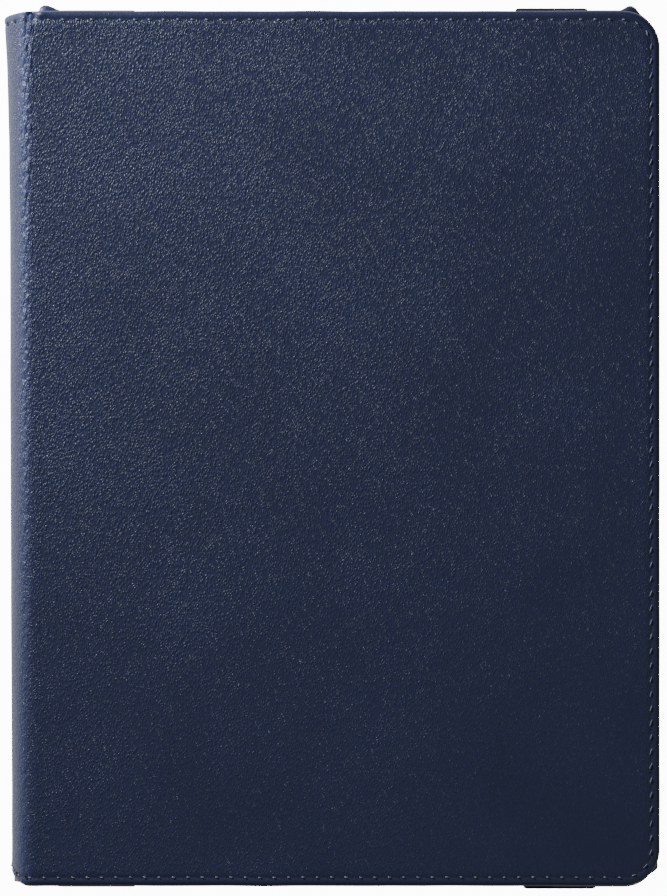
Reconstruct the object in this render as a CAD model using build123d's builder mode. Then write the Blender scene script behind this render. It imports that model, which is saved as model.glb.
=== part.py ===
"""Folio keyboard case for a 9.7 inch tablet, closed and lying on its back, in millimetres.

The spine runs along Y at the left (-X), the free edge is at the right (+X) and the front cover is on top.
The front cover holds the keyboard, upside down while the case is closed. The back cover holds the tablet tray.
The origin is at the bottom centre of the whole case.
"""

import os

from build123d import *

os.makedirs("parts", exist_ok=True)

# ---- tablet that the case is made for
TABLET_WIDTH = 169.5
TABLET_HEIGHT = 240.0
TABLET_THICKNESS = 7.5
TABLET_CORNER_RADIUS = 6.5
TABLET_CLEARANCE = 0.25  # round the tablet, on each side
LENS_FROM_EDGE = 9.2  # camera lens centre, from the tablet's two edges

# ---- covers, each a skin of leather round a board, with a lining inside
COVER_BEYOND_TABLET = 1.7  # at the top and at the bottom
COVER_HEIGHT = TABLET_HEIGHT + 2 * COVER_BEYOND_TABLET
COVER_CORNER_RADIUS = 10.3
COVER_BEYOND_TRAY = 0.3  # at the free edge
FOLD_CORNER_RADIUS = 2.0
LEATHER = 0.9
BACK_BOARD = 1.4
FRONT_BOARD = 1.6
LINING = 0.5
LEATHER_EDGE_RADIUS = 0.8
BOARD_GAP = 0.1  # between a board's edge and the turned leather
FOLD_GAP = 1.7  # from a fold's axis to the edge of each cover
FOLD_BEAD_GAP = 0.25

# ---- spine, an arched strip
SPINE_RISE = 3.4  # of the arch's middle line over its chord
SPINE_BOARD = 1.1
SPINE_END_INSET = 3.0  # the board is shorter than the leather at each fold

# ---- elastic strap round the back cover
STRAP_WIDTH = 20.0
STRAP_THICKNESS = 0.9
STRAP_FROM_FREE_EDGE = 18.7  # to the strap's nearer edge
STRAP_GAP = 0.1
STRAP_TAB_LENGTH = 14.0  # of each end sewn inside the cover
STRAP_TAB_THICKNESS = 1.0
STRAP_SLOT_GAP = 0.1  # round each tab where it passes through the turned leather
STRAP_TRAVEL = 12.0  # that the strap can be pulled off the back

# ---- tray that holds the tablet
TRAY_FLOOR = 1.4
TRAY_WALL = 1.6
TRAY_RAIL_HEIGHT = 2.2  # low wall between the corners, over the tray's floor
TRAY_RAIL_INSET = 0.4  # from the outside of the corner walls to the outside of the rails
TRAY_CORNER_LEG = 27.0  # along each side
WRAP_BEYOND = 1.0  # that each corner's leather runs along the rail past its corner wall
TRAY_CORNER_RADIUS = 8.2
TRAY_LIP = 1.2
TRAY_LIP_REACH = 2.6  # over the tablet's face
TRAY_LINER = 0.4
TABLET_TO_LIP = 0.2
CORNER_WRAP = 0.9
TRAY_TO_FOLD = 0.8  # from the fold's axis to the corner wraps
CAMERA_HOLE_RADIUS = 5.0
GROMMET_WALL = 0.8

# ---- kickstand flap, cut out of the back cover
FLAP_WIDTH = 66.0  # from its crease to its free end
FLAP_HEIGHT = 190.0
FLAP_FROM_FOLD = 13.0  # from the back fold's axis to the flap's free end
FLAP_GAP = 0.5
FLAP_CORNER_RADIUS = 6.0
FLAP_CREASE_GAP = 1.7  # from the crease's axis to the leather on each side
FLAP_UNDER_TRAY = 0.3
PULL_TAB_WIDTH = 14.0
PULL_TAB_LENGTH = 9.0
PULL_TAB_THICKNESS = 0.6
FLAP_MAGNET_RADIUS = 4.0
FLAP_MAGNET_THICKNESS = 0.8
FLAP_MAGNET_SPACING = 140.0
FLAP_MAGNET_FROM_END = 9.0
KEEPER_THICKNESS = 0.5

# ---- keyboard module
KEYBOARD_INSIDE_TABLET = 3.0  # at the top and at the bottom
KEYBOARD_HEIGHT = TABLET_HEIGHT - 2 * KEYBOARD_INSIDE_TABLET
KEYBOARD_FROM_FOLD = 9.5
KEYBOARD_THICKNESS = 4.6  # without the keycaps
KEYBOARD_CORNER_RADIUS = 5.0
DECK_FACE = 1.0
DECK_RIM = 1.2
KEYBOARD_BASE = 0.8
CIRCUIT = 0.6
MEMBRANE = 0.4
SHELL_GAP = 0.1
KEY_GRID_MARGIN = 6.0  # from the deck's short edges to the first and last keycaps' cells
KEY_UNITS = 13.5  # key widths in each row
CONTROL_STRIP = 12.0  # from the deck's spine edge to the first row of cells
FUNCTION_ROW_PITCH = 12.5
ROW_PITCH = 17.2
KEY_SPACING = 2.4  # between keycaps
KEYCAP_THICKNESS = 2.4
KEYCAP_PROUD = 1.3
KEY_TRAVEL = 1.2
KEYCAP_CORNER_RADIUS = 1.6
KEYCAP_EDGE_RADIUS = 0.35
KEY_WINDOW_GAP = 0.25
DOME_RADIUS = 2.2
DOME_TOP_GAP = 0.05
KEYS_TO_TABLET = 0.5  # from the keycaps to the tablet's face, closed
KEYCAP_WALL = 1.0
KEYCAP_HOLLOW = 1.0

# ---- small pieces on the keyboard
SWITCH_KNOB_LENGTH = 5.0
SWITCH_KNOB_WIDTH = 2.6
SWITCH_TRAVEL = 3.0
SWITCH_PROUD = 0.7
SWITCH_FROM_END = 25.0
PAIR_BUTTON_RADIUS = 2.2
PAIR_BUTTON_PROUD = 0.6
PAIR_BUTTON_FROM_END = 43.0
CONTROL_FLANGE = 0.8
CONTROL_GAP = 0.2
LIGHT_RADIUS = 0.9
LIGHT_COUNT = 3
LIGHT_PITCH = 6.0
LIGHTS_FROM_END = 63.0
BATTERY_LENGTH = 96.0
BATTERY_WIDTH = 7.6
BATTERY_THICKNESS = 1.8
BATTERY_FROM_END = 19.0
SOCKET_WIDTH = 7.6
SOCKET_DEPTH = 5.4
SOCKET_THICKNESS = 2.5
SOCKET_WALL = 0.35
SCREW_HEAD_RADIUS = 1.5
SCREW_HEAD_THICKNESS = 0.5
SCREW_SHANK_RADIUS = 0.7
SCREW_BOSS_RADIUS = 1.9
SCREW_FROM_EDGE = 4.2
BUMPER_RADIUS = 3.0
BUMPER_FROM_EDGE = 4.6
BUMPER_TO_TABLET = 0.2
PALM_PAD_GAP = 1.5  # from the keyboard to the palm rest
PALM_PAD_FROM_EDGE = 7.0
WAKE_MAGNET_SIZE = (3.0, 12.0, 1.0)
WAKE_MAGNET_FROM_EDGE = 6.0
WAKE_MAGNET_SPREAD = 60.0

# ---- levels that follow, from the bottom up
z_back = STRAP_THICKNESS + STRAP_GAP
z_back_board = z_back + LEATHER
z_back_lining = z_back_board + BACK_BOARD
z_tray = z_back_lining + LINING
z_liner = z_tray + TRAY_FLOOR
z_tablet = z_liner + TRAY_LINER
z_lip = z_tablet + TABLET_THICKNESS + TABLET_TO_LIP
z_lip_top = z_lip + TRAY_LIP
z_wrap_top = z_lip_top + CORNER_WRAP
z_keys = z_tablet + TABLET_THICKNESS + KEYS_TO_TABLET
z_deck = z_keys + KEYCAP_PROUD
z_deck_inside = z_deck + DECK_FACE
z_front = z_deck + KEYBOARD_THICKNESS
z_base = z_front - KEYBOARD_BASE
z_circuit = z_base - CIRCUIT
z_membrane = z_circuit - MEMBRANE
z_front_board = z_front + LINING
z_front_leather = z_front_board + FRONT_BOARD
z_top = z_front_leather + LEATHER
z_back_fold = (z_back + z_tray) / 2
z_front_fold = (z_front + z_top) / 2

# ---- places that follow, across the case
tray_width = TABLET_WIDTH + 2 * (TABLET_CLEARANCE + TRAY_WALL)
tray_height = TABLET_HEIGHT + 2 * (TABLET_CLEARANCE + TRAY_WALL)
wrapped_width = tray_width + 2 * CORNER_WRAP
cover_width = TRAY_TO_FOLD + wrapped_width + COVER_BEYOND_TRAY  # from the folds' axes
back_half = (z_tray - z_back) / 2
front_half = (z_top - z_front) / 2
spine_half = (LEATHER + SPINE_BOARD + LINING) / 2
spine_bulge = SPINE_RISE + spine_half
total_width = cover_width + spine_bulge
x_fold = -total_width / 2 + spine_bulge
x_free = total_width / 2
x_tray = x_fold + TRAY_TO_FOLD + wrapped_width / 2
x_strap = x_free - STRAP_FROM_FREE_EDGE - STRAP_WIDTH / 2
x_lens = x_tray + TABLET_WIDTH / 2 - LENS_FROM_EDGE
y_lens = TABLET_HEIGHT / 2 - LENS_FROM_EDGE
x_flap_end = x_fold + FLAP_FROM_FOLD
x_crease = x_flap_end + FLAP_WIDTH
flap_leather = LEATHER
flap_board = BACK_BOARD - FLAP_UNDER_TRAY
z_flap_board = z_back + flap_leather
z_flap_lining = z_flap_board + flap_board
z_flap_top = z_flap_lining + LINING
z_crease = (z_back + z_flap_top) / 2
x_keyboard = x_fold + KEYBOARD_FROM_FOLD
x_key_rows = x_keyboard + CONTROL_STRIP
keyboard_width = 2 * CONTROL_STRIP + FUNCTION_ROW_PITCH + 5 * ROW_PITCH
x_keyboard_end = x_keyboard + keyboard_width
x_controls = x_keyboard + CONTROL_STRIP / 2
key_unit = (KEYBOARD_HEIGHT - 2 * KEY_GRID_MARGIN) / KEY_UNITS
CUT = 30.0  # longer than any hole is deep


def save(piece, name):
    """Labels a finished piece and writes it as its own file."""
    piece.part.label = name
    export_step(piece.part, f"parts/{name}.step")


def box_sketch(x_from, x_to, y_from, y_to, left_radius=0.0, right_radius=0.0):
    """A rectangle in the current sketch plane, its two left and two right corners rounded."""
    with BuildSketch(mode=Mode.PRIVATE) as outline:
        with Locations(((x_from + x_to) / 2, (y_from + y_to) / 2)):
            Rectangle(x_to - x_from, y_to - y_from)
        by_side = outline.vertices().group_by(Axis.X)
        if right_radius > 0:
            fillet(by_side[-1], right_radius)
        if left_radius > 0:
            fillet(outline.vertices().group_by(Axis.X)[0], left_radius)
    return outline.sketch


def cover_sketch(inset):
    """The outline of a cover, from its fold to its free edge, moved in by inset."""
    return box_sketch(
        x_fold + FOLD_GAP + inset,
        x_free - inset,
        -COVER_HEIGHT / 2 + inset,
        COVER_HEIGHT / 2 - inset,
        max(FOLD_CORNER_RADIUS - inset, 0.2),
        COVER_CORNER_RADIUS - inset,
    )


def flap_hole_sketch(grow):
    """The flap's cut-out in the back cover, with the crease's gap at its right."""
    return box_sketch(
        x_flap_end - FLAP_GAP - grow,
        x_crease + FLAP_CREASE_GAP + grow,
        -FLAP_HEIGHT / 2 - FLAP_GAP - grow,
        FLAP_HEIGHT / 2 + FLAP_GAP + grow,
        FLAP_CORNER_RADIUS + FLAP_GAP + grow,
        FLAP_GAP,
    )


def flap_sketch(inset):
    """The kickstand flap's outline, moved in by inset."""
    return box_sketch(
        x_flap_end + inset,
        x_crease - FLAP_CREASE_GAP - inset,
        -FLAP_HEIGHT / 2 + inset,
        FLAP_HEIGHT / 2 - inset,
        FLAP_CORNER_RADIUS - inset,
        0.3,
    )


# ======================================================================== back cover
TURNED = LEATHER + BOARD_GAP

with BuildPart() as back_leather:
    with BuildSketch(Plane.XY.offset(z_back)):
        add(cover_sketch(0))
    extrude(amount=z_tray - z_back)
    fillet(back_leather.faces().sort_by(Axis.Z)[0].edges(), LEATHER_EDGE_RADIUS)
    with BuildSketch(Plane.XY.offset(z_back_board)):
        add(cover_sketch(LEATHER))
        add(flap_hole_sketch(LEATHER), mode=Mode.SUBTRACT)
    extrude(amount=CUT, mode=Mode.SUBTRACT)
    with BuildSketch(Plane.XY.offset(z_back)):
        add(flap_hole_sketch(0))
    extrude(amount=CUT, mode=Mode.SUBTRACT)
    with BuildSketch(Plane.XY.offset(z_back)):
        with Locations((x_lens, y_lens)):
            Circle(CAMERA_HOLE_RADIUS + GROMMET_WALL)
    extrude(amount=CUT, mode=Mode.SUBTRACT)
    with BuildSketch(Plane.XY.offset(z_back_board)):
        with Locations((x_strap, 0)):
            Rectangle(STRAP_WIDTH + 2 * STRAP_SLOT_GAP, COVER_HEIGHT + CUT)
    extrude(amount=STRAP_TAB_THICKNESS + 2 * STRAP_SLOT_GAP, mode=Mode.SUBTRACT)
save(back_leather, "back_leather")

with BuildPart() as back_board:
    with BuildSketch(Plane.XY.offset(z_back_board)):
        add(cover_sketch(TURNED))
        add(flap_hole_sketch(TURNED), mode=Mode.SUBTRACT)
        with Locations((x_lens, y_lens)):
            Circle(CAMERA_HOLE_RADIUS + GROMMET_WALL, mode=Mode.SUBTRACT)
        for side in (1, -1):
            with Locations((x_strap, side * (COVER_HEIGHT / 2 - TURNED - STRAP_TAB_LENGTH / 2))):
                Rectangle(
                    STRAP_WIDTH + 2 * STRAP_SLOT_GAP,
                    STRAP_TAB_LENGTH + 2 * STRAP_SLOT_GAP,
                    mode=Mode.SUBTRACT,
                )
    extrude(amount=BACK_BOARD)
save(back_board, "back_board")

with BuildPart() as back_lining:
    with BuildSketch(Plane.XY.offset(z_back_lining)):
        add(cover_sketch(TURNED))
        add(flap_hole_sketch(TURNED), mode=Mode.SUBTRACT)
        with Locations((x_lens, y_lens)):
            Circle(CAMERA_HOLE_RADIUS + GROMMET_WALL, mode=Mode.SUBTRACT)
    extrude(amount=LINING)
save(back_lining, "back_lining")

with BuildPart() as camera_grommet:
    with BuildSketch(Plane.XY.offset(z_back)):
        with Locations((x_lens, y_lens)):
            Circle(CAMERA_HOLE_RADIUS + GROMMET_WALL)
            Circle(CAMERA_HOLE_RADIUS, mode=Mode.SUBTRACT)
    extrude(amount=z_tray - z_back)
save(camera_grommet, "camera_grommet")


# ======================================================================== elastic strap
y_cover_edge = COVER_HEIGHT / 2
y_strap_leg = y_cover_edge + STRAP_GAP
z_tab = z_back_board + STRAP_SLOT_GAP
z_strap_top = z_tab + STRAP_TAB_THICKNESS

with BuildPart() as elastic_strap:
    with BuildSketch(Plane.YZ.offset(x_strap - STRAP_WIDTH / 2)):
        with Locations((0, z_strap_top / 2)):
            Rectangle(2 * (y_strap_leg + STRAP_THICKNESS), z_strap_top)
    extrude(amount=STRAP_WIDTH)
    bends = elastic_strap.edges().filter_by(Axis.X).group_by(Axis.Z)[0]
    fillet(bends, 0.8 * STRAP_THICKNESS)
    with BuildSketch(Plane.YZ.offset(x_strap - STRAP_WIDTH / 2)):
        with Locations((0, STRAP_THICKNESS + CUT / 2)):
            Rectangle(2 * y_strap_leg, CUT)
    extrude(amount=STRAP_WIDTH, mode=Mode.SUBTRACT)
save(elastic_strap, "elastic_strap")

with BuildPart() as strap_tabs:
    tab_length = LEATHER + BOARD_GAP + STRAP_TAB_LENGTH
    with BuildSketch(Plane.XY.offset(z_tab)):
        for side in (1, -1):
            with Locations((x_strap, side * (y_cover_edge - tab_length / 2))):
                Rectangle(STRAP_WIDTH, tab_length)
    extrude(amount=STRAP_TAB_THICKNESS)
save(strap_tabs, "strap_tabs")


# ======================================================================== tray
def tray_outline(inset, radius):
    """The tray's outline, measured in from the outside of its plastic corner walls."""
    return box_sketch(
        x_tray - tray_width / 2 + inset,
        x_tray + tray_width / 2 - inset,
        -tray_height / 2 + inset,
        tray_height / 2 - inset,
        radius,
        radius,
    )


def corner_squares(leg):
    """Four squares over the tray's corners, each covering leg of both sides."""
    with BuildSketch(mode=Mode.PRIVATE) as squares:
        for side_x in (1, -1):
            for side_y in (1, -1):
                corner_x = x_tray + side_x * (tray_width / 2 - leg + CUT / 2)
                corner_y = side_y * (tray_height / 2 - leg + CUT / 2)
                with Locations((corner_x, corner_y)):
                    Rectangle(CUT, CUT)
    return squares.sketch


keeper_places = [
    (x_flap_end + FLAP_MAGNET_FROM_END, side * FLAP_MAGNET_SPACING / 2) for side in (1, -1)
]
bay_radius = TABLET_CORNER_RADIUS + TABLET_CLEARANCE

with BuildPart() as tray_plate:
    with BuildSketch(Plane.XY.offset(z_tray)):
        add(tray_outline(0, TRAY_CORNER_RADIUS))
        add(corner_squares(TRAY_CORNER_LEG), mode=Mode.INTERSECT)
        add(tray_outline(TRAY_RAIL_INSET, TRAY_CORNER_RADIUS - TRAY_RAIL_INSET))
        with Locations((x_lens, y_lens)):
            Circle(CAMERA_HOLE_RADIUS, mode=Mode.SUBTRACT)
    extrude(amount=TRAY_FLOOR)
    with BuildSketch(Plane.XY.offset(z_tray)):
        with Locations(*keeper_places):
            Circle(FLAP_MAGNET_RADIUS)
    extrude(amount=KEEPER_THICKNESS, mode=Mode.SUBTRACT)
save(tray_plate, "tray_plate")

with BuildPart() as tray_rails:
    with BuildSketch(Plane.XY.offset(z_liner)):
        add(tray_outline(TRAY_RAIL_INSET, TRAY_CORNER_RADIUS - TRAY_RAIL_INSET))
        add(tray_outline(TRAY_WALL, bay_radius), mode=Mode.SUBTRACT)
        add(corner_squares(TRAY_CORNER_LEG), mode=Mode.SUBTRACT)
    extrude(amount=TRAY_RAIL_HEIGHT)
save(tray_rails, "tray_rails")

with BuildPart() as tray_corner_walls:
    with BuildSketch(Plane.XY.offset(z_liner)):
        add(tray_outline(0, TRAY_CORNER_RADIUS))
        add(corner_squares(TRAY_CORNER_LEG), mode=Mode.INTERSECT)
        add(tray_outline(TRAY_WALL, bay_radius), mode=Mode.SUBTRACT)
    extrude(amount=z_lip - z_liner)
save(tray_corner_walls, "tray_corner_walls")

with BuildPart() as tray_corner_lips:
    with BuildSketch(Plane.XY.offset(z_lip)):
        add(tray_outline(0, TRAY_CORNER_RADIUS))
        add(corner_squares(TRAY_CORNER_LEG), mode=Mode.INTERSECT)
        add(tray_outline(TRAY_WALL + TRAY_LIP_REACH, bay_radius), mode=Mode.SUBTRACT)
    extrude(amount=TRAY_LIP)
save(tray_corner_lips, "tray_corner_lips")

with BuildPart() as kickstand_keepers:
    with BuildSketch(Plane.XY.offset(z_tray)):
        with Locations(*keeper_places):
            Circle(FLAP_MAGNET_RADIUS)
    extrude(amount=KEEPER_THICKNESS)
save(kickstand_keepers, "kickstand_keepers")

with BuildPart() as tray_liner:
    with BuildSketch(Plane.XY.offset(z_liner)):
        add(tray_outline(TRAY_WALL + BOARD_GAP, bay_radius))
        with Locations((x_lens, y_lens)):
            Circle(CAMERA_HOLE_RADIUS, mode=Mode.SUBTRACT)
    extrude(amount=TRAY_LINER)
save(tray_liner, "tray_liner")

corner_names = {(1, 1): "top_right", (1, -1): "bottom_right", (-1, 1): "top_left", (-1, -1): "bottom_left"}
for (side_x, side_y), corner_name in corner_names.items():
    with BuildPart() as corner_wrap:
        with BuildSketch(Plane.XY.offset(z_tray)):
            add(tray_outline(-CORNER_WRAP, TRAY_CORNER_RADIUS + CORNER_WRAP))
            with Locations(
                (
                    x_tray + side_x * (tray_width / 2 - TRAY_CORNER_LEG - WRAP_BEYOND + CUT / 2),
                    side_y * (tray_height / 2 - TRAY_CORNER_LEG - WRAP_BEYOND + CUT / 2),
                )
            ):
                Rectangle(CUT, CUT, mode=Mode.INTERSECT)
        extrude(amount=z_wrap_top - z_tray)
        fillet(corner_wrap.faces().sort_by(Axis.Z)[-1].edges(), LEATHER_EDGE_RADIUS)
        with BuildSketch(Plane.XY.offset(z_tray)):
            add(tray_outline(0, TRAY_CORNER_RADIUS))
        extrude(amount=z_lip_top - z_tray, mode=Mode.SUBTRACT)
        with BuildSketch(Plane.XY.offset(z_tray)):
            add(tray_outline(TRAY_WALL + TRAY_LIP_REACH, bay_radius))
        extrude(amount=CUT, mode=Mode.SUBTRACT)
    save(corner_wrap, f"tray_corner_{corner_name}")


# ======================================================================== kickstand flap
with BuildPart() as kickstand_leather:
    with BuildSketch(Plane.XY.offset(z_back)):
        add(flap_sketch(0))
    extrude(amount=z_flap_top - z_back)
    fillet(kickstand_leather.faces().sort_by(Axis.Z)[0].edges(), 0.25)
    with BuildSketch(Plane.XY.offset(z_flap_board)):
        add(flap_sketch(LEATHER))
    extrude(amount=CUT, mode=Mode.SUBTRACT)
save(kickstand_leather, "kickstand_leather")

with BuildPart() as kickstand_board:
    with BuildSketch(Plane.XY.offset(z_flap_board)):
        add(flap_sketch(TURNED))
    extrude(amount=flap_board)
    with BuildSketch(Plane.XY.offset(z_flap_lining - FLAP_MAGNET_THICKNESS)):
        with Locations(*keeper_places):
            Circle(FLAP_MAGNET_RADIUS)
    extrude(amount=CUT, mode=Mode.SUBTRACT)
save(kickstand_board, "kickstand_board")

with BuildPart() as kickstand_magnets:
    with BuildSketch(Plane.XY.offset(z_flap_lining - FLAP_MAGNET_THICKNESS)):
        with Locations(*keeper_places):
            Circle(FLAP_MAGNET_RADIUS)
    extrude(amount=FLAP_MAGNET_THICKNESS)
save(kickstand_magnets, "kickstand_magnets")

with BuildPart() as kickstand_lining:
    with BuildSketch(Plane.XY.offset(z_flap_lining)):
        add(flap_sketch(TURNED))
    extrude(amount=LINING)
save(kickstand_lining, "kickstand_lining")

with BuildPart() as kickstand_pull_tab:
    with BuildSketch(Plane.XY.offset(z_back - PULL_TAB_THICKNESS)):
        with Locations((x_flap_end - FLAP_GAP + PULL_TAB_LENGTH / 2, 0)):
            Rectangle(PULL_TAB_LENGTH, PULL_TAB_WIDTH)
    extrude(amount=PULL_TAB_THICKNESS)
    fillet(kickstand_pull_tab.edges().filter_by(Axis.Z), 1.5)
save(kickstand_pull_tab, "kickstand_pull_tab")


def fold_bead(x_axis, z_axis, radius, height):
    """A round roll of leather along a fold's axis."""
    with BuildPart() as bead:
        with BuildSketch(Plane.XZ):
            with Locations((x_axis, z_axis)):
                Circle(radius)
        extrude(amount=height / 2, both=True)
    return bead


crease_radius = min(FLAP_CREASE_GAP - FOLD_BEAD_GAP, (z_flap_top - z_back) / 2)
save(fold_bead(x_crease, z_crease, crease_radius, FLAP_HEIGHT), "kickstand_fold")


# ======================================================================== spine
spine_chord = z_front_fold - z_back_fold
spine_radius = (spine_chord**2 / 4 + SPINE_RISE**2) / (2 * SPINE_RISE)
spine_centre = Vector(x_fold - SPINE_RISE + spine_radius, (z_front_fold + z_back_fold) / 2)


def spine_strip(outer_radius, thickness, end_gap, height):
    """An arched strip between the two folds, each end stopping end_gap short of the fold's axis."""
    half_chord = spine_chord / 2 - end_gap
    reach = CUT * half_chord / (spine_centre.X - x_fold)
    corner_x = spine_centre.X - CUT
    with BuildPart() as strip:
        with BuildSketch(Plane.XZ):
            with Locations(spine_centre):
                Circle(outer_radius)
                Circle(outer_radius - thickness, mode=Mode.SUBTRACT)
            with BuildLine():
                Polyline(
                    spine_centre,
                    (corner_x, spine_centre.Y + reach),
                    (corner_x, spine_centre.Y - reach),
                    close=True,
                )
            make_face(mode=Mode.INTERSECT)
        extrude(amount=height / 2, both=True)
    return strip


spine_outside = spine_radius + spine_half
save(spine_strip(spine_outside, LEATHER, FOLD_GAP, COVER_HEIGHT), "spine_leather")
save(
    spine_strip(spine_outside - LEATHER, SPINE_BOARD, SPINE_END_INSET, COVER_HEIGHT - 2 * TURNED),
    "spine_board",
)
save(
    spine_strip(spine_outside - LEATHER - SPINE_BOARD, LINING, FOLD_GAP, COVER_HEIGHT - 2 * TURNED),
    "spine_lining",
)
bead_radius = min(FOLD_GAP - FOLD_BEAD_GAP, back_half)
save(fold_bead(x_fold, z_back_fold, bead_radius, COVER_HEIGHT), "back_fold")
save(fold_bead(x_fold, z_front_fold, bead_radius, COVER_HEIGHT), "front_fold")


# ======================================================================== front cover
magnet_x, magnet_y, magnet_z = WAKE_MAGNET_SIZE
magnet_places = [
    (x_free - WAKE_MAGNET_FROM_EDGE, middle + side * WAKE_MAGNET_SPREAD / 4)
    for middle in (-WAKE_MAGNET_SPREAD, WAKE_MAGNET_SPREAD)
    for side in (-1, 1)
]

with BuildPart() as front_leather:
    with BuildSketch(Plane.XY.offset(z_front)):
        add(cover_sketch(0))
    extrude(amount=z_top - z_front)
    fillet(front_leather.faces().sort_by(Axis.Z)[-1].edges(), LEATHER_EDGE_RADIUS)
    with BuildSketch(Plane.XY.offset(z_front)):
        add(cover_sketch(LEATHER))
    extrude(amount=z_front_leather - z_front, mode=Mode.SUBTRACT)
save(front_leather, "front_leather")

with BuildPart() as front_board:
    with BuildSketch(Plane.XY.offset(z_front_board)):
        add(cover_sketch(TURNED))
    extrude(amount=FRONT_BOARD)
    with BuildSketch(Plane.XY.offset(z_front_board)):
        with Locations(*magnet_places):
            Rectangle(magnet_x, magnet_y)
    extrude(amount=magnet_z, mode=Mode.SUBTRACT)
save(front_board, "front_board")

with BuildPart() as wake_magnets:
    with BuildSketch(Plane.XY.offset(z_front_board)):
        with Locations(*magnet_places):
            Rectangle(magnet_x, magnet_y)
    extrude(amount=magnet_z)
save(wake_magnets, "wake_magnets")

with BuildPart() as front_lining:
    with BuildSketch(Plane.XY.offset(z_front)):
        add(cover_sketch(TURNED))
    extrude(amount=LINING)
save(front_lining, "front_lining")

with BuildPart() as palm_rest_pad:
    with BuildSketch(Plane.XY.offset(z_deck)):
        add(
            box_sketch(
                x_keyboard_end + PALM_PAD_GAP,
                x_free - PALM_PAD_FROM_EDGE,
                -KEYBOARD_HEIGHT / 2,
                KEYBOARD_HEIGHT / 2,
                KEYBOARD_CORNER_RADIUS,
                COVER_CORNER_RADIUS - PALM_PAD_FROM_EDGE + KEYBOARD_CORNER_RADIUS,
            )
        )
    extrude(amount=z_front - z_deck)
    fillet(palm_rest_pad.faces().sort_by(Axis.Z)[0].edges(), 1.2)
save(palm_rest_pad, "palm_rest_pad")


# ======================================================================== keyboard
def keyboard_sketch(inset):
    """The keyboard module's outline, moved in by inset."""
    return box_sketch(
        x_keyboard + inset,
        x_keyboard_end - inset,
        -KEYBOARD_HEIGHT / 2 + inset,
        KEYBOARD_HEIGHT / 2 - inset,
        KEYBOARD_CORNER_RADIUS - inset,
        KEYBOARD_CORNER_RADIUS - inset,
    )


def units_row(pitch, keys):
    """One row of keys as (node, width in units), from the typist's left to right."""
    return {"pitch": pitch, "keys": keys}


KEY_ROWS = [
    units_row(FUNCTION_ROW_PITCH, [("keys_function_row", KEY_UNITS / 13)] * 13),
    units_row(ROW_PITCH, [("keys_number_row", 1.0)] * 12 + [("key_backspace", 1.5)]),
    units_row(ROW_PITCH, [("key_tab", 1.5)] + [("keys_upper_row", 1.0)] * 12),
    units_row(
        ROW_PITCH, [("key_caps_lock", 1.75)] + [("keys_home_row", 1.0)] * 10 + [("key_enter", 1.75)]
    ),
    units_row(
        ROW_PITCH,
        [("key_left_shift", 1.75)] + [("keys_lower_row", 1.0)] * 10 + [("key_right_shift", 1.75)],
    ),
    units_row(
        ROW_PITCH,
        [("keys_bottom_row", 1.0)] * 4 + [("key_space", 4.5)] + [("keys_bottom_row", 1.0)] * 5,
    ),
]


def key_cells():
    """Every key as (node, centre x, centre y, size x, size y), sizes without the spacing taken off."""
    cells = []
    row_x = x_key_rows
    for row in KEY_ROWS:
        left_y = KEYBOARD_HEIGHT / 2 - KEY_GRID_MARGIN
        for node, units in row["keys"]:
            width = units * key_unit
            cells.append((node, row_x + row["pitch"] / 2, left_y - width / 2, row["pitch"], width))
            left_y -= width
        row_x += row["pitch"]
    return cells


CELLS = key_cells()
key_nodes = list(dict.fromkeys(cell[0] for cell in CELLS))
screw_places = [
    (x, side * (KEYBOARD_HEIGHT / 2 - SCREW_FROM_EDGE))
    for x in (x_keyboard + SCREW_FROM_EDGE, x_keyboard_end - SCREW_FROM_EDGE)
    for side in (1, -1)
]
y_lights = -KEYBOARD_HEIGHT / 2 + LIGHTS_FROM_END
light_places = [
    (x_controls, y_lights + (i - (LIGHT_COUNT - 1) / 2) * LIGHT_PITCH)
    for i in range(LIGHT_COUNT)
]
switch_place = (x_controls, -KEYBOARD_HEIGHT / 2 + SWITCH_FROM_END)
button_place = (x_controls, -KEYBOARD_HEIGHT / 2 + PAIR_BUTTON_FROM_END)
socket_y = -KEYBOARD_HEIGHT / 2 + SOCKET_DEPTH / 2
z_socket = z_deck_inside + SHELL_GAP
socket_x = x_keyboard + 2 * SCREW_FROM_EDGE + SOCKET_WIDTH
z_key_back = z_keys + KEYCAP_THICKNESS

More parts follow.
